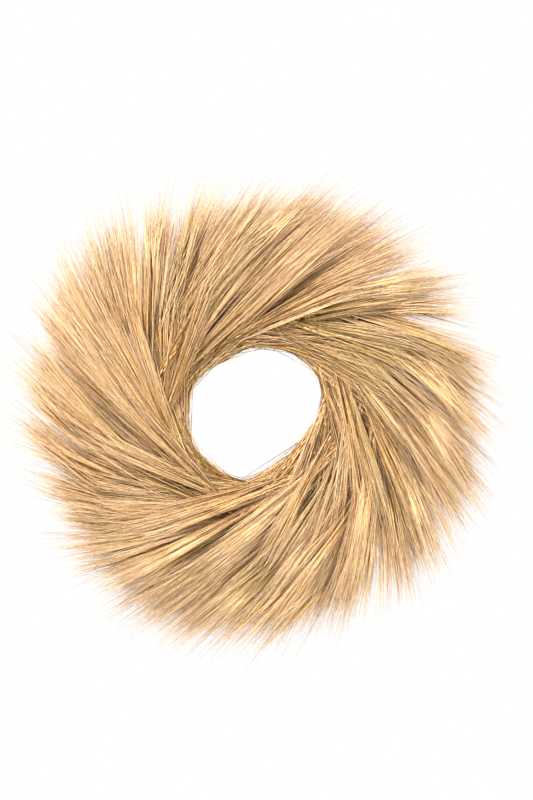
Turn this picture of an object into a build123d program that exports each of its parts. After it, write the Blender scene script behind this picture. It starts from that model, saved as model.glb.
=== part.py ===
from build123d import *
import math
import os

# A door wreath of bearded grain heads bound to a four-ring wire frame.
# Millimetres, +Z up, +Y into the door. The origin is where a hook bears under the top of the hanging bail.

# Wreath as a whole
wreath_d = 560.0  # across the awn tips
hole_d = 156.0  # opening at the innermost heads
wreath_depth = 92.0  # from the door to the front of the heads

# Wire frame
frame_outer_d = 254.0  # outer ring, wire centre to wire centre
frame_inner_d = 172.0  # inner ring, wire centre to wire centre
ring_wire_d = 2.7
middle_ring_inset = 11.0  # middle rings, in from the outer and inner rings
frame_rise = 16.0  # middle rings, proud of the outer and inner rings
brace_wire_d = 2.3
brace_count = 6
brace_bend_r = 4.0
weld_bite = 0.05  # how far a spot weld sinks one wire into the other
weld_length = 1.2

# Grain bunches
station_count = 12  # places round the frame where bunches are wired on
bunches_abreast = 3  # inner, middle and outer bunch of each place
stem_bundle_d = 9.0
stem_flat_run = 27.0  # stems lying flat on the middle rings
stem_rise_run = 15.0  # plan length over which the stems climb into the heads
stem_bend_r = 14.0
stem_seat_clearance = 0.25
head_lay_angle = 70.0  # between a head at the opening and the radial line, clockwise outwards
head_lean = 26.0  # turn of a bunch's front face against its back, in degrees
bunch_gap = 0.5  # between neighbouring bunches, in degrees
bunch_stagger = 9.0  # how much further out each next bunch of a place begins
stem_lane_spread = 1.1  # stems' spacing against an even spread over the middle rings
stem_root_depth = 1.8  # how deep the stems run into their heads
pocket_clearance = 3.0  # room in the bunches round the frame, the stems and the binding wire

# A bunch's outline at four heights off the door: how far it draws back from the opening and from the tips
back_of_awns = 9.0
back_opening_in = 16.0
back_tips_in = 26.0
longest_at = 0.42  # share of the wreath's depth where heads reach both the opening and the tips
shoulder_at = 0.76
shoulder_opening_in = 3.0
shoulder_tips_in = 22.0
front_opening_in = 20.0
front_tips_in = 72.0

# Ties round each bunch's stems
tie_width = 4.0
tie_wall = 0.8
tie_clearance = 0.1

# Binding wire
binding_wire_d = 0.9
binding_turns = 3
binding_pitch = 1.3
binding_bend_r = 1.4
binding_clearance = 0.6

# Hanging bail
bail_wire_d = 2.0
bail_width = 20.0  # between the two legs' centres
bail_height = 33.0  # from the hinge axis to the top of the arch, wire centre
bail_clearance = 0.4  # round the ring's wire
bail_lean = 4.0  # forward tilt of the standing bail, in degrees

# Values that follow from the sizes above
back_clearance = binding_wire_d + binding_clearance
outer_ring_r = frame_outer_d / 2
inner_ring_r = frame_inner_d / 2
outer_middle_r = outer_ring_r - middle_ring_inset
inner_middle_r = inner_ring_r + middle_ring_inset
low_ring_h = back_clearance + ring_wire_d / 2
high_ring_h = low_ring_h + frame_rise
stem_seat_h = high_ring_h + ring_wire_d / 2 + tie_wall + tie_clearance + stem_seat_clearance
stem_h = stem_seat_h + stem_bundle_d / 2
station_pitch = 360 / station_count
bunch_pitch = station_pitch / bunches_abreast
middle_rings_width = outer_middle_r - inner_middle_r + ring_wire_d
stem_lane = middle_rings_width / (bunches_abreast - 1) * stem_lane_spread
frame_middle_r = (outer_ring_r + inner_ring_r) / 2
binding_roof_h = stem_h + stem_bundle_d / 2 + binding_clearance + binding_wire_d / 2
pocket_inner_r = inner_ring_r - ring_wire_d / 2 - binding_wire_d - pocket_clearance
pocket_outer_r = outer_ring_r + ring_wire_d / 2 + binding_wire_d + pocket_clearance
pocket_h = binding_roof_h + pocket_clearance

# The bail stands on the top of the outer ring, and the hook bears under its arch.
bail_axis_drop = outer_ring_r - math.sqrt(outer_ring_r**2 - (bail_width / 2) ** 2)
hinge_r = outer_ring_r - bail_axis_drop
lean = math.radians(bail_lean)
hook_reach = bail_height - bail_wire_d / 2
hook_up = hook_reach * math.cos(lean)
hook_forward = hook_reach * math.sin(lean)

wreath_z = -(hinge_r + hook_up)
door_y = low_ring_h + hook_forward

os.makedirs("parts", exist_ok=True)


def finish(part, name):
    part.label = name
    export_step(part, f"parts/{name}.step")


def outwards(degrees):
    """Unit vector away from the wreath's axis, counter-clockwise from the right as the viewer sees it."""
    return Vector(math.cos(math.radians(degrees)), 0, math.sin(math.radians(degrees)))


def door_plane(height=0, degrees=0):
    """Plane square to the wreath's axis: height off the door, local x turned by degrees, z to the viewer."""
    return Plane(origin=(0, door_y - height, wreath_z), x_dir=outwards(degrees), z_dir=(0, -1, 0))


def radial_plane(degrees):
    """Section through the wreath's axis: local x outwards, local y towards the viewer."""
    return Plane(origin=(0, door_y, wreath_z), x_dir=outwards(degrees), z_dir=-outwards(degrees + 90))


# Frame rings: round wire bent to a hoop and butt-welded.
def make_ring(name, ring_r, height):
    with BuildPart() as ring:
        with BuildLine(door_plane(height)) as hoop:
            CenterArc((0, 0), ring_r, 0, 360)
        with BuildSketch(Plane(origin=hoop.line @ 0, z_dir=hoop.line % 0)):
            Circle(ring_wire_d / 2)
        sweep()
    finish(ring.part, name)


make_ring("frame_outer_ring", outer_ring_r, low_ring_h)
make_ring("frame_outer_middle_ring", outer_middle_r, high_ring_h)
make_ring("frame_inner_middle_ring", inner_middle_r, high_ring_h)
make_ring("frame_inner_ring", inner_ring_r, low_ring_h)

# Cross braces: wire bent to a trapezium, welded inside the low rings and behind the high ones.
wire_centres = (ring_wire_d + brace_wire_d) / 2 - weld_bite
brace_high_h = high_ring_h - wire_centres
corner_outer_r = outer_middle_r + wire_centres
corner_inner_r = inner_middle_r - wire_centres
# A leg slopes from its corner so that it touches the low ring, and ends just past the weld.
leg_across = middle_ring_inset - wire_centres
leg_fall = brace_high_h - low_ring_h
ring_from_corner = math.hypot(leg_across, leg_fall)
leg_slope = math.atan2(leg_fall, leg_across) + math.asin(wire_centres / ring_from_corner)
leg_length = math.sqrt(ring_from_corner**2 - wire_centres**2) + weld_length / 2
foot_out = leg_length * math.cos(leg_slope)
foot_h = brace_high_h - leg_length * math.sin(leg_slope)
for i in range(brace_count):
    with BuildPart() as brace:
        with BuildLine(radial_plane(360 / brace_count * i)) as bend:
            FilletPolyline(
                (corner_outer_r + foot_out, foot_h),
                (corner_outer_r, brace_high_h),
                (corner_inner_r, brace_high_h),
                (corner_inner_r - foot_out, foot_h),
                radius=brace_bend_r,
            )
        with BuildSketch(Plane(origin=bend.line @ 0, z_dir=bend.line % 0)):
            Circle(brace_wire_d / 2)
        sweep()
    finish(brace.part, f"frame_brace_{i + 1:02d}")


# Bunches: every head lies on a straight line that leaves the opening at head_lay_angle.
def lay_sweep(radius):
    """Turn about the wreath's axis between a head's line at the opening and at this radius."""
    start_r = hole_d / 2
    back = start_r * math.cos(math.radians(head_lay_angle))
    run = math.sqrt(back**2 + radius**2 - start_r**2) - back
    side = run * math.sin(math.radians(head_lay_angle))
    return math.degrees(math.asin(side / radius))


def polar(radius, degrees):
    return (radius * math.cos(math.radians(degrees)), radius * math.sin(math.radians(degrees)))


# Heights of a bunch's faces, and how far each face draws back from the opening and from the tips.
def bunch_faces():
    return [
        (back_of_awns, back_opening_in, back_tips_in),
        (wreath_depth * longest_at, 0.0, 0.0),
        (wreath_depth * shoulder_at, shoulder_opening_in, shoulder_tips_in),
        (wreath_depth, front_opening_in, front_tips_in),
    ]


def stem_lane_r(lane):
    return frame_middle_r + (lane - (bunches_abreast - 1) / 2) * stem_lane


def lean_turn(height):
    """How far a bunch has leaned over its neighbour at this height off the door, in degrees."""
    return head_lean * (height - back_of_awns) / (wreath_depth - back_of_awns)


def head_turn(lane, height):
    """Where this lane's bunch lies, half-way across, at its own stem radius and this height."""
    return (lane + 0.5) * bunch_pitch - lay_sweep(stem_lane_r(lane)) - lean_turn(height)


# The binding wire goes round each place where the outer lane's stems lie flat.
head_h = pocket_h + stem_root_depth
outer_lane = bunches_abreast - 1
binding_reach = stem_rise_run + stem_flat_run / 2
binding_az = head_turn(outer_lane, head_h) + math.degrees(binding_reach / stem_lane_r(outer_lane))
first_station = 90 + station_pitch / 2 - binding_az


def stem_plane(station, lane):
    """Upright plane along a bunch's stems: origin under the heads, local x to the cut ends, y to the viewer."""
    head_az = first_station + station * station_pitch + head_turn(lane, head_h)
    half_run = stem_rise_run + stem_flat_run / 2
    along = outwards(head_az + 90 + math.degrees(half_run / 2 / stem_lane_r(lane)))
    under_heads = Vector(0, door_y - stem_h, wreath_z) + outwards(head_az) * stem_lane_r(lane)
    return Plane(origin=under_heads, x_dir=along, z_dir=along.cross(Vector(0, -1, 0)))


def make_bunch(name, station, lane):
    place_az = first_station + station * station_pitch
    low_edge = lane * bunch_pitch + bunch_gap / 2
    high_edge = (lane + 1) * bunch_pitch - bunch_gap / 2
    with BuildPart() as bunch:
        for height, opening_in, tips_in in bunch_faces():
            inner_r = hole_d / 2 + opening_in + lane * bunch_stagger
            outer_r = wreath_d / 2 - tips_in
            inner_az = -lay_sweep(inner_r) - lean_turn(height)
            outer_az = -lay_sweep(outer_r) - lean_turn(height)
            with BuildSketch(door_plane(height, place_az)):
                with BuildLine():
                    CenterArc((0, 0), inner_r, low_edge + inner_az, high_edge - low_edge)
                    Line(polar(inner_r, high_edge + inner_az), polar(outer_r, high_edge + outer_az))
                    CenterArc((0, 0), outer_r, high_edge + outer_az, low_edge - high_edge)
                    Line(polar(outer_r, low_edge + outer_az), polar(inner_r, low_edge + inner_az))
                make_face()
        loft(ruled=True)
        # Room for the frame, the stems and the binding wire
        with BuildSketch(door_plane()):
            Circle(pocket_outer_r)
            Circle(pocket_inner_r, mode=Mode.SUBTRACT)
        extrude(amount=pocket_h, mode=Mode.SUBTRACT)
        # Stems: flat on the middle rings, then bent up into the heads
        with BuildLine(stem_plane(station, lane)) as stems:
            FilletPolyline(
                (0, head_h - stem_h),
                (stem_rise_run, 0),
                (stem_rise_run + stem_flat_run, 0),
                radius=stem_bend_r,
            )
        with BuildSketch(Plane(origin=stems.line @ 1, z_dir=stems.line % 1)):
            Circle(stem_bundle_d / 2)
        sweep(path=stems.line)
    finish(bunch.part, name)


lane_names = ["inner", "middle", "outer"]
for station in range(station_count):
    for lane in range(bunches_abreast):
        make_bunch(f"bunch_{station + 1:02d}_{lane_names[lane]}", station, lane)

# Ties: a band round each bunch's stems, just below the bend.
stem_bend_end = stem_rise_run + stem_bend_r * math.tan(math.atan2(head_h - stem_h, stem_rise_run) / 2)
with BuildPart() as ties:
    for station in range(station_count):
        for lane in range(bunches_abreast):
            stems_at = stem_plane(station, lane)
            tie_start = stems_at.origin + stems_at.x_dir * (stem_bend_end + tie_clearance)
            with BuildSketch(Plane(origin=tie_start, z_dir=stems_at.x_dir)):
                Circle(stem_bundle_d / 2 + tie_clearance + tie_wall)
                Circle(stem_bundle_d / 2 + tie_clearance, mode=Mode.SUBTRACT)
            extrude(amount=tie_width)
finish(ties.part, "bunch_ties")

# Binding wire: turns round frame and stems at each place, joined by runs behind the frame.
binding_stand_off = binding_clearance + binding_wire_d / 2
binding_back_h = low_ring_h - ring_wire_d / 2 - binding_stand_off
with BuildPart() as binding:
    for station in range(station_count):
        for turn in range(binding_turns):
            turn_step = math.degrees(binding_pitch / frame_middle_r) * (turn - (binding_turns - 1) / 2)
            turn_az = first_station + station * station_pitch + binding_az + turn_step
            with BuildLine(radial_plane(turn_az)) as wrap:
                FilletPolyline(
                    (inner_ring_r - ring_wire_d / 2 - binding_stand_off, binding_back_h),
                    (outer_ring_r + ring_wire_d / 2 + binding_stand_off, binding_back_h),
                    (stem_lane_r(outer_lane) + stem_bundle_d / 2 + binding_stand_off, binding_roof_h),
                    (stem_lane_r(0) - stem_bundle_d / 2 - binding_stand_off, binding_roof_h),
                    radius=binding_bend_r,
                    close=True,
                )
            with BuildSketch(Plane(origin=wrap.line @ 0, z_dir=wrap.line % 0)):
                Circle(binding_wire_d / 2)
            sweep(path=wrap.line)
    with BuildLine(door_plane(binding_back_h, first_station + binding_az)) as runs:
        FilletPolyline(
            *[polar(frame_middle_r, station_pitch * i) for i in range(station_count)],
            radius=binding_bend_r,
            close=True,
        )
    with BuildSketch(Plane(origin=runs.line @ 0, z_dir=runs.line % 0)):
        Circle(binding_wire_d / 2)
    sweep(path=runs.line)
finish(binding.part, "binding_wire")

# Hanging bail: wire arch with an eye at each foot, turning on the outer ring's wire.
eye_r = ring_wire_d / 2 + bail_clearance + bail_wire_d / 2
hinge = Vector(0, hook_forward, -hook_up)
standing = Plane(origin=hinge, x_dir=(1, 0, 0), z_dir=(0, -math.cos(lean), -math.sin(lean)))
with BuildPart() as bail:
    with BuildLine(standing) as arch:
        left_leg = Line((-bail_width / 2, eye_r), (-bail_width / 2, bail_height - bail_width / 2))
        RadiusArc(left_leg @ 1, (bail_width / 2, bail_height - bail_width / 2), bail_width / 2)
        Line((bail_width / 2, bail_height - bail_width / 2), (bail_width / 2, eye_r))
    with BuildSketch(Plane(origin=arch.line @ 0, z_dir=arch.line % 0)):
        Circle(bail_wire_d / 2)
    sweep(path=arch.line)
    for side in (-1, 1):
        with BuildLine(Plane.YZ.offset(side * bail_width / 2)) as eye:
            CenterArc((hinge.Y, hinge.Z), eye_r, 0, 360)
        with BuildSketch(Plane(origin=eye.line @ 0, z_dir=eye.line % 0)):
            Circle(bail_wire_d / 2)
        sweep(path=eye.line)
finish(bail.part, "hanging_bail")
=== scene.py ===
import math
import bpy
import numpy as np
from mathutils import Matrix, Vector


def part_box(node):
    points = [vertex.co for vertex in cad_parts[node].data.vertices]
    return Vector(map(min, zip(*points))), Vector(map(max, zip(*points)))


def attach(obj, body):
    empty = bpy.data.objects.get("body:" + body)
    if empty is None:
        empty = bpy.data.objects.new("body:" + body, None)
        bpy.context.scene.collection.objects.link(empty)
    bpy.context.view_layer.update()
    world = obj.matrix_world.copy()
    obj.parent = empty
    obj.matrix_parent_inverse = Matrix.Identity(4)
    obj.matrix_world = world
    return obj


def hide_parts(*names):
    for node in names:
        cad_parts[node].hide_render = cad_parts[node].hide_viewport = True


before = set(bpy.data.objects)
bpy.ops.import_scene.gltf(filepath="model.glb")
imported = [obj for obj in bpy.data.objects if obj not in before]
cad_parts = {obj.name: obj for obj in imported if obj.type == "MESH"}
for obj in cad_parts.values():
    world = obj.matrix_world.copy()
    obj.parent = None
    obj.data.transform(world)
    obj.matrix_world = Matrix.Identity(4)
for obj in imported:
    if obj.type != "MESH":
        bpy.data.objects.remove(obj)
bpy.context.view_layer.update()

# ---------------------------------------------------------------------------------------------
# Wire frame. Four hoops of mild steel wire on six bent cross braces, spot-welded together and
# dipped in dark green paint, which has rubbed off in specks.
DIP_DEEP = (0.018, 0.055, 0.026, 1)
DIP_THIN = (0.036, 0.088, 0.040, 1)
BARE_STEEL = (0.20, 0.17, 0.14, 1)


class Tone:
    """One socket of a material's nodes, so that sums on it read as sums."""

    def __init__(self, tree, socket=None):
        self.tree = tree
        self.socket = socket

    def node(self, kind, settings, sockets, out=0):
        """Adds a node: its settings first, then the values or links of its sockets."""
        made = self.tree.nodes.new(kind)
        for key, value in settings.items():
            if key == "stops":
                ramp = made.color_ramp.elements
                while len(ramp) < len(value):
                    ramp.new(1.0)
                for stop, (place, colour) in zip(ramp, value):
                    stop.position = place
                    stop.color = (*colour, 1.0)
            elif key == "interpolation":
                made.color_ramp.interpolation = value
            else:
                setattr(made, key, value)
        for key, value in sockets.items():
            if isinstance(value, Tone):
                self.tree.links.new(value.socket, made.inputs[key])
            else:
                made.inputs[key].default_value = value
        return Tone(self.tree, made.outputs[out])

    def maths(self, operation, *values):
        return self.node("ShaderNodeMath", {"operation": operation}, dict(enumerate(values)))

    def __add__(self, other):
        return self.maths("ADD", self, other)

    def __sub__(self, other):
        return self.maths("SUBTRACT", self, other)

    def __rsub__(self, other):
        return self.maths("SUBTRACT", other, self)

    def __mul__(self, other):
        return self.maths("MULTIPLY", self, other)

    def held(self):
        """Kept between 0 and 1."""
        return self.maths("MINIMUM", self.maths("MAXIMUM", self, 0.0), 1.0)

    def past(self, level, slope):
        """A mask that is 0 up to this level and then rises to 1."""
        return ((self - level) * slope).held()

    __radd__ = __add__
    __rmul__ = __mul__


def new_tree(name):
    made = bpy.data.materials.new(name)
    made.use_nodes = True
    made.node_tree.nodes.clear()
    return made.node_tree


def mottle(tree, scale, detail=4.0):
    """Cloudy noise on the piece's own points, from 0 to 1."""
    place = Tone(tree).node("ShaderNodeTexCoord", {}, {}, out="Object")
    sockets = {"Vector": place, "Scale": scale, "Detail": detail, "Roughness": 0.6}
    return place.node("ShaderNodeTexNoise", {}, sockets)


def blended(share, first, second):
    """A colour share of the way from first to second; sockets 6 and 7 are Mix's colours."""
    return share.node("ShaderNodeMix", {"data_type": "RGBA"}, {0: share, 6: first, 7: second}, out=2)


def paint(name, colour, roughness, bump=None, depth=0.0, **plain):
    """Closes a material: colour and roughness are nodes, the plain values stay on the shader."""
    tree = colour.tree
    shader = tree.nodes.new("ShaderNodeBsdfPrincipled")
    ends = tree.nodes.new("ShaderNodeOutputMaterial")
    tree.links.new(shader.outputs[0], ends.inputs[0])
    tree.links.new(colour.socket, shader.inputs["Base Color"])
    tree.links.new(roughness.socket, shader.inputs["Roughness"])
    if bump is not None:
        sockets = {"Height": bump, "Distance": depth, "Strength": 1.0}
        tree.links.new(bump.node("ShaderNodeBump", {}, sockets).socket, shader.inputs["Normal"])
    for key, value in plain.items():
        shader.inputs[key.replace("_", " ")].default_value = value
    return bpy.data.materials[name]


def green_dip():
    tree = new_tree("green_dipped_wire")
    worn = mottle(tree, 900.0).past(0.62, 9.0)
    cloud = mottle(tree, 160.0)
    enamel = blended(cloud, DIP_DEEP, DIP_THIN)
    rough = 0.34 + cloud * 0.16 + worn * 0.30
    orange_peel = mottle(tree, 1500.0)
    return paint("green_dipped_wire", blended(worn, enamel, BARE_STEEL), rough, orange_peel, 0.00012)


green_wire = green_dip()


def coat(node, material):
    """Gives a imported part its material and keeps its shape."""
    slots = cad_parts[node].data.materials
    slots.clear()
    slots.append(material)
    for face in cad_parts[node].data.polygons:
        face.use_smooth = True


HOOPS = ["frame_outer_ring", "frame_outer_middle_ring", "frame_inner_middle_ring", "frame_inner_ring"]
BRACES = [f"frame_brace_{i:02d}" for i in range(1, 7)]
for frame_part in HOOPS + BRACES:
    coat(frame_part, green_wire)


# Every round thing on the wreath, from a weld to a beard, is a tube along a path, and the tubes of
# one kind are laid down together. Each tube carries two numbers of its own, tone and hue, and its
# place on the colour map: a row for its tone, a column for its hue.
HUES = 5  # columns of the colour map
TONES = 40  # rows of the colour map, for each material slot
MAP_MARGIN = 0.02
MAP_FILLED = 0.94
ROW_GAP = 0.12  # of a row's height, left clear on both sides of it
COLUMN_GAP = 0.04  # of a column's width
CAP_WIDTH = 0.003
CAP_HEIGHT = 0.30  # of a row's height
MIDDLE_TONE = 0.5
TOP_TONE = 0.999
towards_viewer = np.array([0.0, -1.0, 0.0])


class Tubes:
    """Tubes of one kind: paths (tube, ring, xyz) in metres and radii (tube, ring); sides is the number
    of flats round, flat squeezes the section, and roll turns it round the path."""

    def __init__(self, paths, radii, sides, tone=MIDDLE_TONE, hue=MIDDLE_TONE, along=None, flat=1.0,
                 roll=0.0, slot=0):
        count, rings = paths.shape[:2]
        if along is None:
            along = np.linspace(0, 1, rings)
        self.paths = paths
        self.radii = np.broadcast_to(radii, (count, rings))
        self.sides = sides
        self.tone = np.broadcast_to(tone, (count,))
        self.hue = np.broadcast_to(hue, (count,))
        self.along = np.broadcast_to(along, (count, rings))
        self.flat = flat
        self.roll = np.broadcast_to(roll, (count,))
        self.slot = slot


def unit(vectors):
    return vectors / np.maximum(np.linalg.norm(vectors, axis=-1, keepdims=True), 1e-12)


def round_turn(sides):
    return np.linspace(0, 2 * math.pi, sides, endpoint=False)


def tube_rings(tubes):
    """Points of every ring: (tube, ring, side, xyz)."""
    ahead = unit(np.gradient(tubes.paths, axis=1))
    side = unit(np.cross(ahead, towards_viewer))
    up = np.cross(side, ahead)
    spin = round_turn(tubes.sides)
    cos_roll = np.cos(tubes.roll)[:, None, None]
    sin_roll = np.sin(tubes.roll)[:, None, None]
    wide = side * cos_roll + up * sin_roll
    thick = (up * cos_roll - side * sin_roll) * tubes.flat
    circle = wide[:, :, None] * np.cos(spin)[:, None] + thick[:, :, None] * np.sin(spin)[:, None]
    return tubes.paths[:, :, None] + circle * tubes.radii[:, :, None, None]


def tube_faces(tubes, slots):
    """Corner numbers of the walls and the two caps, and each corner's place on the colour map."""
    count, rings = tubes.paths.shape[:2]
    sides = tubes.sides
    number = np.arange(count * rings * sides).reshape(count, rings, sides)
    after = np.roll(number, -1, axis=2)
    walls = np.stack([number[:, :-1], number[:, 1:], after[:, 1:], after[:, :-1]], axis=-1)
    caps = np.stack([number[:, 0], number[:, -1, ::-1]], axis=1)

    row_height = MAP_FILLED / slots / TONES
    row = np.minimum((tubes.tone * TONES).astype(int), TONES - 1)
    foot = (tubes.slot / slots + MAP_MARGIN + (row + ROW_GAP) * row_height)[:, None, None]
    column = np.minimum((tubes.hue * HUES).astype(int), HUES - 1)[:, None]
    length = (column + COLUMN_GAP + (1 - 2 * COLUMN_GAP) * tubes.along) / HUES
    step = row_height * (1 - 2 * ROW_GAP) / sides
    low = np.broadcast_to(foot + np.arange(sides) * step, (count, rings - 1, sides))
    near = np.broadcast_to(length[:, :-1, None], low.shape)
    far = np.broadcast_to(length[:, 1:, None], low.shape)
    corners = [(near, low), (far, low), (far, low + step), (near, low + step)]
    wall_map = np.stack([np.stack(corner, axis=-1) for corner in corners], axis=-2)

    spin = round_turn(sides)
    cap_u = np.stack([length[:, 0], length[:, -1]], axis=1)[:, :, None] + CAP_WIDTH * np.cos(spin)
    cap_v = foot + row_height * (0.5 - ROW_GAP + CAP_HEIGHT * np.sin(spin))
    cap_map = np.stack(np.broadcast_arrays(cap_u, cap_v), axis=-1)
    return walls.reshape(-1, 4), caps.reshape(-1, sides), wall_map.reshape(-1, 2), cap_map.reshape(-1, 2)


def lay_down(name, sets, materials):
    """One object from sets of tubes, smooth all over, with its numbers for the material."""
    points, corners, spans, maps, slots = [], [], [], [], []
    values = {"along": [], "tone": [], "hue": []}
    base = 0
    for tubes in sets:
        rings = tube_rings(tubes)
        walls, caps, wall_map, cap_map = tube_faces(tubes, len(materials))
        points.append(rings.reshape(-1, 3))
        corners += [(walls + base).ravel(), (caps + base).ravel()]
        spans += [np.full(len(walls), 4), np.full(len(caps), tubes.sides)]
        maps += [wall_map, cap_map]
        slots.append(np.full(len(walls) + len(caps), tubes.slot))
        shape = rings.shape[:3]
        values["along"].append(np.broadcast_to(tubes.along[:, :, None], shape).ravel())
        values["tone"].append(np.broadcast_to(tubes.tone[:, None, None], shape).ravel())
        values["hue"].append(np.broadcast_to(tubes.hue[:, None, None], shape).ravel())
        base += rings.size // 3
    spans = np.concatenate(spans)
    corners = np.concatenate(corners)
    mesh = bpy.data.meshes.new(name)
    mesh.vertices.add(base)
    mesh.vertices.foreach_set("co", np.concatenate(points).ravel().astype(np.float32))
    mesh.loops.add(len(corners))
    mesh.loops.foreach_set("vertex_index", corners.astype(np.int32))
    mesh.polygons.add(len(spans))
    mesh.polygons.foreach_set("loop_start", (np.cumsum(spans) - spans).astype(np.int32))
    mesh.polygons.foreach_set("material_index", np.concatenate(slots).astype(np.int32))
    mesh.update(calc_edges=True)
    mesh.shade_smooth()
    for key, parts in values.items():
        layer = mesh.attributes.new(key, "FLOAT", "POINT")
        layer.data.foreach_set("value", np.concatenate(parts).astype(np.float32))
    layer = mesh.uv_layers.new(name="OFBake")
    layer.data.foreach_set("uv", np.concatenate(maps).ravel().astype(np.float32))
    for material in materials:
        mesh.materials.append(material)
    made = bpy.data.objects.new(name, mesh)
    bpy.context.scene.collection.objects.link(made)
    return made


# The wreath is set out as its maker would do it: millimetres out from the axis of the hoops, a turn
# counter-clockwise from the right, and a height off the door. The outer hoop gives the axis, and the
# binding wire lies against the door.
MM = 0.001
chance = np.random.default_rng(22)
ring_low, ring_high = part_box("frame_outer_ring")
axis_x = (ring_low.x + ring_high.x) / 2
axis_z = (ring_low.z + ring_high.z) / 2
door_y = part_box("binding_wire")[1].y


def on_wreath(across, up, height):
    """Points from millimetres right of the axis, above it and off the door."""
    across, up, height = np.broadcast_arrays(across, up, height)
    return np.stack([axis_x + across * MM, door_y - height * MM, axis_z + up * MM], axis=-1)


def at_turn(radius, degrees, height):
    turn = np.radians(degrees)
    return on_wreath(radius * np.cos(turn), radius * np.sin(turn), height)


# Weld beads: a lump of metal where each brace meets a hoop, beside the two low hoops and under the
# two high ones.
HOOP_WIRE = 2.7
MIDDLE_INSET = 11.0  # from the outer and inner hoops to the middle ones
BEAD_ASIDE = 1.5
BEAD_UNDER = 1.6
BEAD_HALF = 1.9  # of its length
BEAD_ROUND = 2.0
BEAD_R = (1.25, 1.6)
BEAD_RINGS = 7
BEAD_SIDES = 9
BEAD_UNEVEN = 0.12
BEAD_TOUCH = 0.2  # how far a low hoop's bead is pushed onto the hoop
outer_r = (ring_high.x - ring_low.x) / 2 / MM - HOOP_WIRE / 2
inner_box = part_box("frame_inner_ring")
inner_r = (inner_box[1].x - inner_box[0].x) / 2 / MM - HOOP_WIRE / 2
low_h = (door_y - (ring_low.y + ring_high.y) / 2) / MM
middle_low, middle_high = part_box("frame_inner_middle_ring")
high_h = (door_y - (middle_low.y + middle_high.y) / 2) / MM


def weld_beads():
    joints = (
        (outer_r - BEAD_ASIDE, low_h, -1), (outer_r - MIDDLE_INSET, high_h - BEAD_UNDER, 0),
        (inner_r + MIDDLE_INSET, high_h - BEAD_UNDER, 0), (inner_r + BEAD_ASIDE, low_h, 1),
    )
    reach = np.linspace(-BEAD_HALF, BEAD_HALF, BEAD_RINGS)
    dome = np.sqrt(np.maximum(1 - (reach / BEAD_ROUND) ** 2, 0.02))
    sets = []
    for brace in range(len(BRACES)):
        for radius, height, inwards in joints:
            turn = 360 / len(BRACES) * brace + np.degrees(reach / radius)
            wander = chance.normal(0, BEAD_UNEVEN, BEAD_RINGS)
            path = at_turn(radius + wander + inwards * BEAD_TOUCH, turn, height + wander[::-1])
            bulge = dome * chance.uniform(*BEAD_R)
            sets.append(Tubes(path[None], bulge[None] * MM, BEAD_SIDES))
    return lay_down("frame_weld_beads", sets, [green_wire])


beads = weld_beads()
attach(beads, "wreath")

# ---------------------------------------------------------------------------------------------
# Stems. Each bunch is a handful of straws cut to a hand's width and laid on the middle hoops; past
# the tie they bend up off the frame into their heads. Straw is a pale hollow tube, shiny and streaked;
# its cut end and the inside of the hollow are painted darker, as painted shade in the hollow.
STRAW_DEEP = (0.60, 0.42, 0.19, 1)
STRAW_PALE = (0.86, 0.70, 0.42, 1)
STRAW_STREAK = (0.47, 0.30, 0.12, 1)
STRAW_HOLLOW_SHADE = (0.36, 0.22, 0.09, 1)
STATIONS = 12  # places round the wreath
LANES = ["inner", "middle", "outer"]
LANE_R = [94.6, 106.5, 118.4]  # where each lane's stems cross the frame
HEAD_TURN = [-21.2, -18.5, -13.8]  # from the binding wire to where the stems have risen, in degrees
FIRST_WIRED = 105.0
BUNDLE_R = 4.5
STEM_H = 25.85
RISEN_H = 36.2
RISE_RUN = 15.0
FLAT_RUN = 27.0
PAST_BEND = 12.0
STRAWS = 15
STRAW_R = (1.05, 1.45)
STRAW_RINGS = 14
STRAW_SIDES = 7
UNEVEN_CUT = (-7.0, 3.0)
BEND_BEFORE = 5.0  # the straws start to rise this much before the flat run ends
GOLDEN_TURN = 2.39996
HOLLOW_IN = np.array([0.0, 0.4, 2.4])  # how far the wall of a cut straw is followed inside it
HOLLOW_R = np.array([0.72, 0.66, 0.6])  # of the straw's own radius


def reading(tree, name):
    """A number that the mesh carries at each of its points."""
    return Tone(tree).node("ShaderNodeAttribute", {"attribute_name": name}, {}, out="Fac")


def streaks(along, tone, hue, scales, scale, detail=3.0):
    """Noise drawn out along each strand and new for every strand."""
    sockets = {0: along * scales[0], 1: tone * scales[1], 2: hue * scales[2]}
    place = along.node("ShaderNodeCombineXYZ", {}, sockets)
    return place.node("ShaderNodeTexNoise", {}, {"Vector": place, "Scale": scale, "Detail": detail})


def straw_gold():
    tree = new_tree("dry_straw")
    along, tone, hue = (reading(tree, key) for key in ("along", "tone", "hue"))
    streak = streaks(along, tone, hue, (9.0, 61.0, 23.0), 2.2)
    colour = blended(tone, STRAW_DEEP, STRAW_PALE)
    colour = blended(streak.past(0.28125, 1.6), colour, STRAW_STREAK)
    # painted shade: the cut end and the inside of the hollow turn dark
    colour = blended(along.past(0.88, 9.0) * 0.6, colour, STRAW_HOLLOW_SHADE)
    return paint("dry_straw", colour, 0.36 + streak * 0.2, streak, 0.0002)


straw = straw_gold()


def wired_at(station):
    return FIRST_WIRED + station * 360 / STATIONS


def pointing(radians):
    return np.array([math.cos(radians), math.sin(radians)])


def stem_line(station, lane):
    """Foot, direction and sideways of a bunch's stems, in plan."""
    under_heads = wired_at(station) + HEAD_TURN[lane]
    to_middle = math.degrees((RISE_RUN + FLAT_RUN / 2) / 2 / LANE_R[lane])
    lay = math.radians(under_heads + 90 + to_middle)
    foot = pointing(math.radians(under_heads)) * LANE_R[lane]
    return foot, pointing(lay), np.array([-math.sin(lay), math.cos(lay)])


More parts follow.
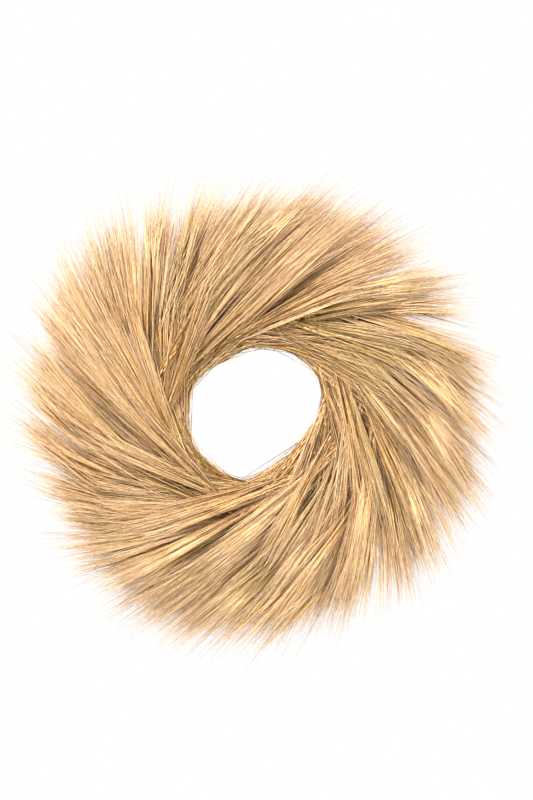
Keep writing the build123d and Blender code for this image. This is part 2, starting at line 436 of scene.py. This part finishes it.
def packed_disc(count, radius):
    """Places across a round bundle: a sunflower's spiral, each a like share of the disc."""
    order = np.arange(count) + 0.5
    reach = radius * np.sqrt(order / count)
    return reach * np.cos(order * GOLDEN_TURN), reach * np.sin(order * GOLDEN_TURN)


def straws(station, lane):
    foot, lay, sideways = stem_line(station, lane)
    aside, lift = packed_disc(STRAWS, BUNDLE_R - 1.3)
    aside = aside + chance.normal(0, 0.25, STRAWS)
    ends = RISE_RUN + FLAT_RUN + chance.uniform(*UNEVEN_CUT, STRAWS)
    run = np.linspace(0, 1, STRAW_RINGS)
    out = -PAST_BEND + (ends[:, None] + PAST_BEND) * (1 - run)
    bend_run = RISE_RUN + BEND_BEFORE
    risen = np.clip((bend_run - out) / bend_run, 0, 2) ** 1.35
    height = STEM_H + lift[:, None] + risen * (RISEN_H - STEM_H)
    spread = 1 + 0.5 * np.clip(-out / PAST_BEND, 0, 1)
    plan = foot + out[..., None] * lay + (aside[:, None] * spread)[..., None] * sideways
    paths = on_wreath(plan[..., 0], plan[..., 1], height)[:, ::-1]
    radii = chance.uniform(*STRAW_R, STRAWS)[:, None] * np.ones(STRAW_RINGS)
    tone = chance.uniform(0.2, 1.0, STRAWS)
    # The cut end is hollow: the wall turns in and runs back up inside the straw.
    tip, back = paths[:, -1:], paths[:, -2:-1]
    inwards = tip + unit(back - tip) * HOLLOW_IN[None, :, None] * MM
    paths = np.concatenate([paths, inwards], axis=1)
    radii = np.concatenate([radii, radii[:, :1] * HOLLOW_R], axis=1) * MM
    along = np.concatenate([run, np.ones(len(HOLLOW_IN))])
    return Tubes(paths, radii, STRAW_SIDES, tone=tone, along=along)


for station in range(STATIONS):
    for lane, lane_name in enumerate(LANES):
        bundle = lay_down(f"stems_{station + 1:02d}_{lane_name}", [straws(station, lane)], [straw])
        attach(bundle, "wreath")

# ---------------------------------------------------------------------------------------------
# Ties. Each bunch's straws are bound with a few turns of two-ply jute twine just past the bend,
# knotted at the side with the ends left short.
JUTE_DARK = (0.22, 0.125, 0.05, 1)
JUTE_LIGHT = (0.56, 0.38, 0.19, 1)
JUTE_FADED = (0.60, 0.45, 0.26, 1)
TIE_AT = 19.6  # from the foot of the stems
TIE_TURNS = 4.5
TIE_PITCH = 0.80
TWINE_R = 0.42
PLY_R = TWINE_R * 0.62
PLY_PITCH = 2.6
PLY_SIDES = 5
KNOT_AT = TIE_AT + 2.2
KNOT_OUT = 0.9
ACROSS_PLIES = [0.31, 0.22, 0.93]  # a direction that no stretch of the twine runs along


def jute():
    tree = new_tree("jute_twine")
    tone, along = reading(tree, "tone"), reading(tree, "along")
    fuzz = streaks(along, tone, 0.0, (150.0, 37.0, 0.0), 3.0, detail=4.0)
    colour = blended(fuzz, JUTE_DARK, JUTE_LIGHT)
    colour = blended(tone * 0.35, colour, JUTE_FADED)
    return paint("jute_twine", colour, 0.78 + fuzz * 0.15, fuzz, 0.00025)


def two_ply(path, tone):
    """Two plies twisted round a path of millimetres given as points (ring, xyz) in the bunch's frame."""
    step = np.linalg.norm(np.diff(path, axis=0), axis=1)
    turned = np.concatenate([[0], np.cumsum(step)]) / PLY_PITCH * 2 * math.pi
    ahead = unit(np.gradient(path, axis=0))
    side = unit(np.cross(ahead, ACROSS_PLIES))
    up = np.cross(side, ahead)
    plies = []
    for start in (0.0, math.pi):
        swing = side * np.cos(turned + start)[:, None] + up * np.sin(turned + start)[:, None]
        plies.append(path + swing * TWINE_R * 0.5)
    return np.array(plies), np.array([tone, min(tone + 0.12, 0.99)])


def tie_paths():
    """Twine round a bundle that lies along x, with y sideways and z towards the front."""
    turn = np.linspace(0, TIE_TURNS * 2 * math.pi, 110)
    ring = BUNDLE_R + 0.15 + TWINE_R
    side = ring + KNOT_OUT
    wound = np.stack(
        [TIE_AT + 0.5 + turn / (2 * math.pi) * TIE_PITCH, ring * np.cos(turn), ring * np.sin(turn)], 1
    )
    loop = np.linspace(0, 2 * math.pi, 34)
    knot = np.stack([
        KNOT_AT + 0.95 * (np.sin(loop) + 0.6 * np.sin(2 * loop)), side + 0.45 * np.sin(3 * loop),
        1.1 * (np.cos(loop) - 0.6 * np.cos(2 * loop)),
    ], 1)
    run = np.linspace(0, 1, 16)
    tails = [
        np.stack([
            KNOT_AT + way * (0.8 + 4.2 * run), side + 1.5 * np.sin(run * 2.4), way * 1.2 * run - 3.0 * run**2,
        ], 1)
        for way in (-1, 1)
    ]
    return [wound, knot] + tails


def bunch_ties():
    twine = tie_paths()
    by_length = [[], [], []]  # windings, knots, tails
    for station in range(STATIONS):
        for lane in range(len(LANES)):
            foot, lay, sideways = stem_line(station, lane)
            outwards = sideways * (-1 if lane == 0 else 1)
            tone = chance.uniform(0.1, 0.8)
            for i, path in enumerate(twine):
                loose = path + chance.normal(0, 0.05, path.shape) * (i == 0)
                plies, tones = two_ply(loose, tone)
                plan = foot + plies[..., :1] * lay + plies[..., 1:2] * outwards
                laid = on_wreath(plan[..., 0], plan[..., 1], STEM_H + plies[..., 2])
                by_length[min(i, 2)].append((laid, tones))
    sets = []
    for group in by_length:
        paths = np.concatenate([laid for laid, _ in group])
        tones = np.concatenate([tones for _, tones in group])
        sets.append(Tubes(paths, PLY_R * MM, PLY_SIDES, tone=tones))
    return lay_down("twine_ties", sets, [jute()])


ties = bunch_ties()
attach(ties, "wreath")
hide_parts("bunch_ties")

# ---------------------------------------------------------------------------------------------
# Binding wire. Thin green-lacquered florist's wire in one length: three tight turns round frame and
# stems at each place, then on behind the hoops to the next.
LACQUER_DEEP = (0.020, 0.060, 0.028, 1)
LACQUER_THIN = (0.045, 0.105, 0.048, 1)
RUBBED_WIRE = (0.30, 0.27, 0.22, 1)
WIRE_R = 0.45
WIRE_TURNS = 3
WIRE_PITCH = 1.3
WIRE_STEP = 0.9
WIRE_SIDES = 8
BACK_H = 0.45
ROOF_H = 31.4
ROOF_IN = LANE_R[0] - 5.55
ROOF_OUT = LANE_R[2] + 5.55
BACK_OUT = outer_r + 2.4
BACK_IN = inner_r - 2.4
BACK_MIDDLE = (outer_r + inner_r) / 2
SPAN_RINGS = 30  # of the wire between two places
SPAN_BOW = 0.034  # how far it cuts the corner there, as a share of its distance out
SOFTEN = np.full(5, 0.2)  # rounds the corners of the wire's path


def lacquer():
    tree = new_tree("lacquered_wire")
    cloud = mottle(tree, 420.0)
    rubbed = mottle(tree, 1300.0).past(0.60, 8.0)
    colour = blended(rubbed, blended(cloud, LACQUER_DEEP, LACQUER_THIN), RUBBED_WIRE)
    return paint("lacquered_wire", colour, 0.28 + cloud * 0.2, cloud, 0.00006, Coat_Weight=0.25)


def one_turn():
    """Once round frame and stems: distance out and height at each step."""
    corners = [(BACK_MIDDLE, BACK_H), (BACK_OUT, BACK_H), (ROOF_OUT, ROOF_H), (ROOF_IN, ROOF_H)]
    corners += [(BACK_IN, BACK_H), (BACK_MIDDLE, BACK_H)]
    sides = []
    for (r0, h0), (r1, h1) in zip(corners, corners[1:]):
        steps = int(math.hypot(r1 - r0, h1 - h0) / WIRE_STEP)
        share = np.arange(steps) / steps
        sides.append(np.stack([r0 + (r1 - r0) * share, h0 + (h1 - h0) * share], 1))
    return np.concatenate(sides)


def winding():
    turn = one_turn()
    wound = np.tile(turn, (WIRE_TURNS, 1))
    share = np.arange(len(wound)) / len(turn) - WIRE_TURNS / 2
    run = np.linspace(0.04, 0.96, SPAN_RINGS)
    reach, height, turns = [], [], []
    pitch = math.degrees(WIRE_PITCH / BACK_MIDDLE)
    for station in range(STATIONS):
        slack = chance.normal(0, 0.035, len(wound)).cumsum() % 0.4
        reach.append(wound[:, 0])
        height.append(wound[:, 1] + slack * 0.4)
        turns.append(wired_at(station) + share * pitch)
        reach.append(BACK_MIDDLE * (1 - SPAN_BOW * 4 * run * (1 - run)))
        height.append(np.full(SPAN_RINGS, BACK_H))
        turns.append(turns[-1][-1] + run * (360 / STATIONS - WIRE_TURNS * pitch))
    reach, height, turns = (
        np.convolve(np.concatenate(part), SOFTEN, "valid") for part in (reach, height, turns)
    )
    path = at_turn(reach, turns, height)
    return lay_down("binding_winding", [Tubes(path[None], WIRE_R * MM, WIRE_SIDES)], [lacquer()])


binding = winding()
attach(binding, "wreath")
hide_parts("binding_wire")

# ---------------------------------------------------------------------------------------------
# Heads. Bearded barley: rows of plump husked grains up both sides of the stalk, each with a long
# stiff beard. Every head lies on a straight line that clears the opening, so the whole wreath swirls
# clockwise outwards in four broad sheaves; each head starts under its neighbours and ends on top.
KINDS = [
    (0.72, 0.435, 0.180), (0.70, 0.385, 0.125), (0.68, 0.34, 0.095), (0.68, 0.42, 0.235), (0.47, 0.32, 0.09),
]
BEARD_ROOT_SHADE = (0.360, 0.195, 0.064, 1)
BEARD_TIP_GLOW = (0.860, 0.590, 0.350, 1)
HUSK_ROOT_SHADE = (0.290, 0.190, 0.070, 1)
HUSK_TIP = (0.560, 0.350, 0.160, 1)
DARK_TONE_AND_SHADE = (0.115, 0.050, 0.014, 1)
CREAM_HIGHLIGHT = (0.820, 0.590, 0.345, 1)
BROWN_STREAK = (0.205, 0.112, 0.036, 1)
MOSTLY = [3, 3, 0, 1, 1, 2, 1, 0, 1, 2, 1, 4]  # the commonest kind of colour at each place

HEADS = [18, 18, 20]  # in a bunch of each lane
BEARDS = 60
JOINTS = 16  # of an ear, with two grains at each
AHEAD = -42.0  # from the binding wire to the middle of its heads, in degrees
FANNED = 32.0  # degrees round the ring that one bunch's heads cover
STRAY = 2.6  # degrees that a head's line strays from the lie of the wreath
BUNCH_STRAY = 1.5  # degrees that a whole bunch strays
SEEN_AT = [(90, 132), (140, 182), (185, 232)]  # where the heads of each lane lie on top
COVERED = [0.38, 0.46, 0.46]  # share of a head's length that lies before that place
CLEAR = (1, 10)  # between a head's line and the edge of the opening
LONG = [(205, 245), (200, 240), (190, 235)]
START_STRAY = 8
TIP_STRAY = 10
TIPS_ABOUT = 270  # distance out near which the heads end, to find the turn where they do
FARTHEST = 298.0  # from the axis, for any beard's end
EAR_LONG = (66, 90)
EAR_SHARE = 0.42  # the most of a head's length that its ear takes up
BEND = 4.0  # how far a head's tip hangs in from its straight line, give or take as much again
LIGHT = 0.57
LIGHT_STRAY = 0.07
DEPTH_SHADE = 0.38  # heads that end deep in the wreath are painted darker by this much, as shade under the heads above them
GRAIN_LONG = 9.5
GRAIN_R = np.array([0.45, 1.3, 1.5, 1.0, 0.25])
GRAIN_SIDES = 6
GRAIN_FLAT = 0.8
BEARD_R = (0.27, 0.50)
BEARD_TAPER = 0.78
BEARD_RINGS = 7
BEARD_SIDES = 3
BEARD_END = (0.975, 0.11)  # mean and spread, as a share of the way to the head's tip
BEARD_END_LIMITS = (0.6, 1.2)
SPLAY = (0.5, 7.5)
WAVE = 0.8
LOOSE = 0.05  # share of the edge heads' beards that stand out into the opening
LOOSE_OUT = (3, 15)
SHADOW_BEARDS = 0.20  # share of the beards painted dark, standing in for the shadowed gaps between beards
OWN_KIND = 0.65  # share of the beards that have their head's own colour
STALK_R = 0.9
STALK_SIDES = 6

# How the heads lie: at each distance from the axis, the turn of a place and the turn at which the
# line through that place comes nearest the axis.
LIE = [
    (92, [(0, 1), (30, 30), (60, 87), (90, 133), (135, 138), (165, 165), (180, 200), (225, 220), (240, 235),
          (255, 276), (270, 300), (315, 316), (345, 345)]),
    (115, [(0, 12), (30, 42), (45, 62), (75, 129), (120, 139), (135, 146), (180, 218), (215, 226),
           (240, 254), (255, 292), (285, 312), (315, 319), (345, 354)]),
    (161, [(0, 39), (30, 55), (45, 90), (75, 128), (120, 154), (150, 198), (165, 221), (200, 227),
           (225, 264), (255, 306), (300, 320), (315, 328), (345, 389)]),
    (207, [(0, 44), (15, 46), (45, 111), (60, 131), (90, 134), (120, 176), (150, 216), (195, 232),
           (225, 273), (240, 308), (285, 320), (315, 365), (330, 390)]),
]
# Round the wreath, the turn and the distance out of the opening's edge and of the tips.
OPENING = [(0, 83), (40, 89), (90, 79), (127, 73), (205, 83), (247, 84), (270, 86), (322, 67)]
REACH = [
    (0, 266), (15, 270), (45, 254), (75, 244), (105, 242), (135, 264), (165, 256), (180, 258),
    (205, 242), (225, 258), (250, 264), (285, 250), (315, 269), (345, 261),
]
# Distance out and height off the door of the wreath's front and back.
FRONT = [(50, 50), (70, 62), (90, 78), (120, 91), (150, 94), (195, 86), (235, 71), (270, 50), (300, 35)]
BACK = [(50, 46), (118, 45), (140, 40), (165, 20), (200, 9), (300, 7)]
FRONT_LIMIT = 1.08  # depth is 0 at the back of the wreath and 1 at the front
FOOT_DEPTH = [(0.10, 0.60), (0.0, 0.35), (0.0, 0.30)]
TIP_DEPTH = 0.78
DEPTH_STRAY = 0.15
BUNCH_DEPTH_STRAY = 0.05
ROOM = 38.0  # millimetres from the back to the front where the ears are

# The first heads of each inner bunch lie right along the opening and hide the inner hoop.
EDGE_HEADS = 8
EDGE_CLEAR = (0, 5)
EDGE_START = (-95, -45)
EDGE_FOOT_DEPTH = (0.0, 0.5)
EDGE_TIP_DEPTH = 0.5


def sheaf_colour(name, root, tip, shade):
    """Dry husk or beard: kinds of straw colour, darker on the thick ones; painted shade at the root and on
    low tones, a painted highlight on high tones and painted light at the beards' tips.
    """
    tree = new_tree(name)
    along, tone, hue = (reading(tree, key) for key in ("along", "tone", "hue"))
    streak = streaks(along, tone, hue, (22.0, 83.0, 29.0), 2.0)
    stops = [(i / HUES, colour) for i, colour in enumerate(KINDS)]
    body = hue.node("ShaderNodeValToRGB", {"stops": stops, "interpolation": "CONSTANT"}, {0: hue})
    # painted shade: darker towards the root, where beards and grains lie under the neighbouring heads
    colour = blended((1 - along * 2.2).held() * 0.85, body, root)
    # painted light: beard tips turn pale as if lit through; the husks' tip colour is a darker brown of their
    # own
    colour = blended(along.past(0.48, 2.0) * 0.9, colour, tip)
    # low tones turn dark brown: random tone together with the painted depth shade and the beards painted dark
    # for the gaps
    colour = blended(((0.5 - tone) * shade * (1 - along * 0.6)).held(), colour, DARK_TONE_AND_SHADE)
    # painted highlight: beards and grains of high tone turn cream
    colour = blended(tone.past(0.55, 1.9), colour, CREAM_HIGHLIGHT)
    colour = blended((streak * 3.8 - 1.75).held() * 0.62, colour, BROWN_STREAK)
    return paint(name, colour, 0.46 + streak * 0.25, streak, 0.00008, Specular_IOR_Level=0.22)


beard = sheaf_colour("barley_beard", BEARD_ROOT_SHADE, BEARD_TIP_GLOW, 3.0)
husk = sheaf_colour("barley_husk", HUSK_ROOT_SHADE, HUSK_TIP, 2.4)


def from_table(table, place, period=None):
    """Reads a table of (place, value); with a period of 360 the table goes once round the wreath."""
    return np.interp(place, [row[0] for row in table], [row[1] for row in table], period=period)


def nearest_turn(turn, radius):
    """Where the line of a head seen at this turn and radius comes nearest the axis."""
    rings = [row[0] for row in LIE]
    aheads = [from_table([(place, lie - place) for place, lie in row[1]], turn, 360) for row in LIE]
    return turn + np.array([np.interp(r, rings, column) for r, column in zip(radius, np.transpose(aheads))])


def on_line(turn, off, along, depth):
    """Points on lines that clear the axis by off at this turn; depth runs from the back to the front."""
    angle = np.radians(turn)
    across = off * np.cos(angle) + along * np.sin(angle)
    up = off * np.sin(angle) - along * np.cos(angle)
    radius = np.hypot(across, up)
    back = from_table(BACK, radius)
    depth = np.clip(depth, 0.0, FRONT_LIMIT)
    return on_wreath(across, up, back + depth * (from_table(FRONT, radius) - back))


class Handful:
    """The heads of one bunch: each one's line, length, depth and colour."""

    def __init__(self, station, lane):
        count = HEADS[lane]
        spot = (np.arange(count) + chance.uniform(0.1, 0.9, count)) / count - 0.5
        chance.shuffle(spot)
        seen_turn = wired_at(station) + AHEAD + spot * FANNED + chance.normal(0, BUNCH_STRAY)
        seen_r = chance.uniform(*SEEN_AT[lane], count)
        turn = nearest_turn(seen_turn, seen_r)
        turn = turn + chance.normal(0, STRAY, count) + chance.normal(0, BUNCH_STRAY)
        edge = (np.arange(count) < EDGE_HEADS) & (lane == 0)
        turn = np.where(edge, seen_turn, turn)

        # The line clears the opening by a little.
        off = seen_r * np.cos(np.radians(turn - seen_turn))
        opening = from_table(OPENING, turn, 360)
        off = np.maximum(off, opening + chance.uniform(*CLEAR, count))
        off = np.where(edge, opening + chance.uniform(*EDGE_CLEAR, count), off)
        seen_r = np.maximum(seen_r, off)

        # Where on its line each head starts, and how long it is before it passes the tips' edge.
        seen_along = np.sqrt(np.maximum(seen_r**2 - off**2, 0))
        length = chance.uniform(*LONG[lane], count)
        start = seen_along - length * COVERED[lane] + chance.normal(0, START_STRAY, count)
        start = np.where(edge, chance.uniform(*EDGE_START, count), start)
        tip_turn = turn - np.degrees(np.arccos(off / TIPS_ABOUT))
        reach = from_table(REACH, tip_turn, 360) + chance.normal(0, TIP_STRAY, count)
        length = np.minimum(length, np.sqrt(reach**2 - off**2) - start)

        foot_depth = chance.uniform(*FOOT_DEPTH[lane], count)
        foot_depth = np.where(edge, chance.uniform(*EDGE_FOOT_DEPTH, count), foot_depth)
        tip_depth = np.where(edge, EDGE_TIP_DEPTH, TIP_DEPTH)
        tip_depth = tip_depth + chance.normal(0, DEPTH_STRAY, count) + chance.normal(0, BUNCH_DEPTH_STRAY)
        rise = np.maximum(tip_depth - foot_depth, 0)

        self.bend = chance.normal(BEND, BEND, count)
        self.ear = np.minimum(chance.uniform(*EAR_LONG, count), length * EAR_SHARE)
        mixed = np.full(HUES, 0.14)
        mixed[MOSTLY[station]] += 0.3
        self.kind = chance.choice(HUES, count, p=mixed / mixed.sum())
        light = chance.normal(LIGHT, LIGHT_STRAY, count) + chance.normal(0, 0.03)
        # painted shade: heads whose tips end deep in the wreath get a lower tone
        self.light = light - DEPTH_SHADE * (0.9 - foot_depth - rise)
        self.count, self.edge, self.turn, self.off = count, edge, turn, off
        self.start, self.length = start, length
        self.foot_depth, self.rise = foot_depth, rise

    def beside(self, head, along, aside, deeper):
        """Points beside a head's own stalk; along is in millimetres from its foot."""
        share = along / self.length[head]
        off_here = self.off[head] - self.bend[head] * share**2 + aside
        depth = self.foot_depth[head] + self.rise[head] * np.clip(share * 1.6, 0, 1) + deeper
        return on_line(self.turn[head], off_here, self.start[head] + along, depth)


def grow_beards(heads):
    """Each beard starts at its own grain and ends near the head's tip, a little splayed."""
    head = np.repeat(np.arange(heads.count), BEARDS)[:, None]
    count = len(head)

    def drawn(law, *values):
        return law(*values, (count, 1))

    root = drawn(chance.uniform, 0.02, 1.0) * heads.ear[head]
    full = heads.length[head] - 0.35 * heads.ear[head]
    end = root * 0.5 + full * np.clip(drawn(chance.normal, *BEARD_END), *BEARD_END_LIMITS)
    end = np.minimum(end, np.sqrt(FARTHEST**2 - heads.off[head] ** 2) - heads.start[head])
    run = np.linspace(0, 1, BEARD_RINGS)[None, :]
    along = root + (end - root) * run
    side = drawn(chance.choice, [-1.0, 1.0])
    splay = side * drawn(chance.uniform, *SPLAY)
    splay = splay + np.clip(drawn(chance.standard_t, 2.5), -4, 4) * 2.2
    wave = drawn(chance.normal, 0, WAVE) * np.sin(run * drawn(chance.uniform, 2.0, 5.0))
    loose = heads.edge[head] & (chance.random((count, 1)) < LOOSE)
    aside = side * 2.2 + splay * run**1.2 + wave - loose * drawn(chance.uniform, *LOOSE_OUT) * run
    deeper = np.where(heads.edge, 0.0, 0.03)[head] + drawn(chance.normal, 0, 0.04)
    deeper = deeper + drawn(chance.normal, 0, 0.10) * run
    radii = drawn(chance.uniform, *BEARD_R) * (1 - BEARD_TAPER * run**1.5) * MM
    # the tone carries the head's painted depth shade
    tone = heads.light[head[:, 0]] + chance.normal(0, 0.33, count)
    # painted shadow: a share of the beards is made dark for the shade in the gaps between them
    tone = np.clip(tone - 0.5 * (chance.random(count) < SHADOW_BEARDS), 0, TOP_TONE)
    own_kind = chance.random(count) < OWN_KIND
    kind = np.where(own_kind, heads.kind[head[:, 0]], chance.integers(0, HUES, count))
    roll = chance.uniform(0, 3, count)
    paths = heads.beside(head, along, aside, deeper)
    return Tubes(paths, radii, BEARD_SIDES, tone, (kind + 0.5) / HUES, roll=roll, slot=0)


def grow_grains(heads):
    """Two grains opposite at each joint of the ear, the pairs turned a quarter each time."""
    head = np.repeat(np.arange(heads.count), JOINTS * 2)[:, None]
    count = len(head)
    joint = np.tile(np.repeat(np.arange(JOINTS), 2), heads.count)[:, None]
    way = np.tile([0.0, math.pi], JOINTS * heads.count)[:, None] + (joint % 2) * math.pi / 2
    way = way + chance.normal(0, 0.25, (count, 1)) + head * 0.9
    size = (1.0 - 0.35 * (joint / JOINTS) ** 3) * chance.uniform(0.88, 1.1, (count, 1))
    run = np.linspace(0, 1, len(GRAIN_R))[None, :]
    along = joint * heads.ear[head] / JOINTS + run * GRAIN_LONG * size
    off_stalk = (0.7 + 2.2 * np.sin(np.minimum(run * 1.25, 1.0) * math.pi / 2)) * size
    paths = heads.beside(head, along, off_stalk * np.cos(way), off_stalk * np.sin(way) / ROOM)
    radii = GRAIN_R[None, :] * size * MM
    tone = np.clip(heads.light[head[:, 0]] - 0.08 + chance.normal(0, 0.15, count), 0, TOP_TONE)
    hue = (heads.kind[head[:, 0]] + 0.5) / HUES
    return Tubes(paths, radii, GRAIN_SIDES, tone, hue, flat=GRAIN_FLAT, slot=1)


def grow_stalks(heads, station, lane):
    """From the top of the bunch's stems to the foot of each ear, and on up the ear."""
    foot, out, _ = stem_line(station, lane)
    head = np.arange(heads.count)[:, None]
    nothing = np.zeros((heads.count, 1))
    stem_top = on_wreath(*(foot - out * 2.0), RISEN_H)
    stem_on = on_wreath(*(foot - out * 26.0), RISEN_H + 7.0)
    ear_on = heads.beside(head, nothing - 30.0, 0.0, 0.0)
    ear_foot = heads.beside(head, nothing, 0.0, 0.0)
    run = np.linspace(0, 1, 9)[None, :, None]
    curve = (1 - run) ** 3 * stem_top + 3 * run * (1 - run) ** 2 * stem_on
    curve = curve + 3 * run**2 * (1 - run) * ear_on + run**3 * ear_foot
    up_ear = heads.beside(head, np.linspace(0.1, 1, 6)[None, :] * heads.ear[head], 0.0, 0.0)
    tone = np.clip(heads.light - 0.1, 0, TOP_TONE)
    paths = np.concatenate([curve, up_ear], axis=1)
    return Tubes(paths, STALK_R * MM, STALK_SIDES, tone, (heads.kind + 0.5) / HUES, slot=1)


for station in range(STATIONS):
    for lane, lane_name in enumerate(LANES):
        place = f"{station + 1:02d}_{lane_name}"
        handful = Handful(station, lane)
        grown = [grow_beards(handful), grow_grains(handful), grow_stalks(handful, station, lane)]
        bunch = lay_down(f"heads_{place}", grown, [beard, husk])
        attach(bunch, "wreath")
        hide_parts(f"bunch_{place}")

# ---------------------------------------------------------------------------------------------
# Hanging bail. Galvanised steel wire bent to an arch, with an eye closed round the outer hoop at
# each foot, so that it swings on the hoop.
ZINC_DARK = (0.42, 0.43, 0.43, 1)
ZINC_LIGHT = (0.62, 0.63, 0.62, 1)


def galvanised():
    tree = new_tree("galvanised_wire")
    spangle = mottle(tree, 700.0, 2.0)
    colour = blended(spangle, ZINC_DARK, ZINC_LIGHT)
    return paint("galvanised_wire", colour, 0.30 + spangle * 0.25, spangle, 0.0001, Metallic=1.0)


coat("hanging_bail", galvanised())

# ---------------------------------------------------------------------------------------------
# Studio. A pale floor well under the wreath, a white surround and soft lights, and a long lens
# square to the wreath.
FLOOR_PALE = (0.80, 0.80, 0.79, 1)
FLOOR_WHITE = (0.84, 0.84, 0.83, 1)
FLOOR_HALF = 1.6
FLOOR_NEAR = -1.3
FLOOR_FAR = 1.0
FLOOR_DROP = 0.62
VIEW_HIGH = 0.9216  # height of what the lens takes in at the wreath, in metres
STAND_OFF = 3.2
SENSOR = 36.0
AIM_RIGHT = 0.0156
AIM_UP = 0.0127
AIM_FORWARD = 0.05  # from the door to the middle of the grain


def soft_light(name, place, size, watts):
    lamp = bpy.data.lights.new(name, "AREA")
    lamp.shape = "DISK"
    lamp.size = size
    lamp.energy = watts
    made = bpy.data.objects.new(name, lamp)
    made.location = place
    aim = np.array([axis_x, door_y, axis_z]) - np.array(place)
    tilt = math.atan2(math.hypot(aim[0], aim[1]), -aim[2])
    made.rotation_euler = (tilt, 0, math.atan2(aim[0], -aim[1]) + math.pi)
    bpy.context.scene.collection.objects.link(made)


def pale_floor():
    mesh = bpy.data.meshes.new("studio_floor")
    low = axis_z - FLOOR_DROP
    corners = [
        (-FLOOR_HALF, FLOOR_NEAR, low), (FLOOR_HALF, FLOOR_NEAR, low),
        (FLOOR_HALF, FLOOR_FAR, low), (-FLOOR_HALF, FLOOR_FAR, low),
    ]
    mesh.from_pydata(corners, [], [(0, 1, 2, 3)])
    made = bpy.data.objects.new("studio_floor", mesh)
    bpy.context.scene.collection.objects.link(made)
    grain = mottle(new_tree("pale_floor"), 6.0)
    mesh.materials.append(paint("pale_floor", blended(grain, FLOOR_PALE, FLOOR_WHITE), 0.7 + grain * 0.1))
    return made


def white_surround():
    world = bpy.data.worlds.new("white_surround")
    world.use_nodes = True
    sockets = world.node_tree.nodes["Background"].inputs
    sockets["Color"].default_value = (1.0, 1.0, 1.0, 1.0)
    sockets["Strength"].default_value = 1.0
    bpy.context.scene.world = world


def long_lens():
    lens = bpy.data.cameras.new("camera")
    lens.sensor_fit = "VERTICAL"
    lens.sensor_height = SENSOR
    lens.lens = SENSOR * STAND_OFF / VIEW_HIGH
    camera = bpy.data.objects.new("camera", lens)
    camera.location = (axis_x + AIM_RIGHT, door_y - AIM_FORWARD - STAND_OFF, axis_z + AIM_UP)
    camera.rotation_euler = (math.pi / 2, 0, 0)
    bpy.context.scene.collection.objects.link(camera)
    bpy.context.scene.camera = camera


floor = pale_floor()
white_surround()
soft_light("key_light", (-1.1, -2.0, axis_z + 1.6), 0.5, 145.0)
soft_light("fill_light", (1.5, -1.8, axis_z + 0.3), 1.4, 40.0)
soft_light("back_light", (0.9, 1.7, axis_z + 1.0), 1.4, 45.0)
bpy.context.scene.view_settings.view_transform = "Standard"
long_lens()

bpy.context.view_layer.update()
